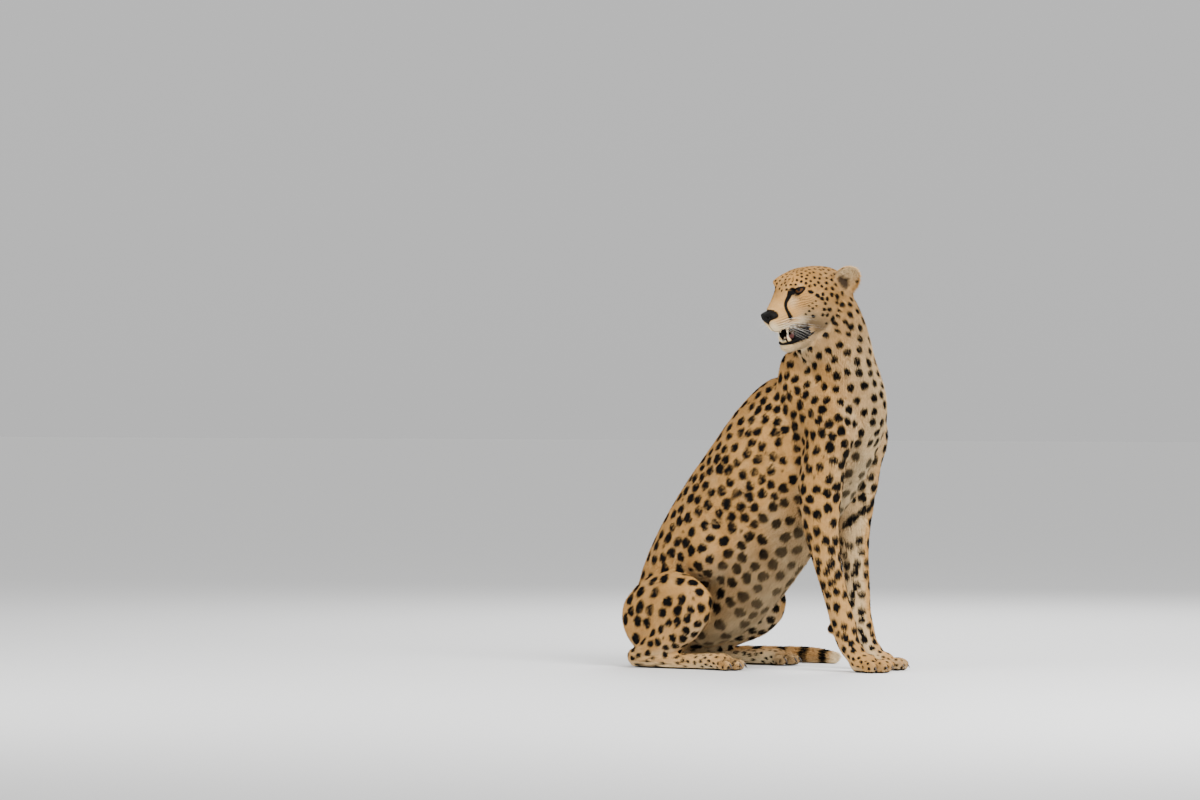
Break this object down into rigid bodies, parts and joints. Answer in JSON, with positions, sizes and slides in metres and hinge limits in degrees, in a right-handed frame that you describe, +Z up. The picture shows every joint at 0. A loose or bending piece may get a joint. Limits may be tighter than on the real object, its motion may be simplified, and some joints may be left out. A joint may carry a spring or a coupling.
{
  "type": "cheetah model",
  "caption": "Still, life-size cheetah sitting up on its haunches, forelegs straight, head turned back over the right shoulder with the mouth slightly open.",
  "frame": {"origin": "middle of the bounding box's foot, on the floor", "axes": "+Z up; the trunk faces +X and the animal's left is +Y"},
  "size_m": [0.7304, 0.4962, 0.932],
  "materials": {
    "coat": "short matte fur, tan with black spots",
    "eye": "glossy amber",
    "nose": "matte black, moist",
    "tongue": "satin pink"
  },
  "bodies": {
    "root": {"head": "coat", "lower_jaw": "coat", "neck": "coat", "chest": "coat", "loin": "coat", "rump": "coat", "ear_left": "coat", "ear_right": "coat", "eye_left": "eye", "eye_right": "eye", "nose": "nose", "tongue": "tongue", "upper_arm_left": "coat", "upper_arm_right": "coat", "forearm_left": "coat", "forearm_right": "coat", "front_paw_left": "coat", "front_paw_right": "coat", "thigh_left": "coat", "thigh_right": "coat", "shank_left": "coat", "shank_right": "coat", "hind_foot_left": "coat", "hind_foot_right": "coat", "tail_root": "coat", "tail_upper": "coat", "tail_lower": "coat", "tail_tip": "coat"}
  },
  "joints": []
}
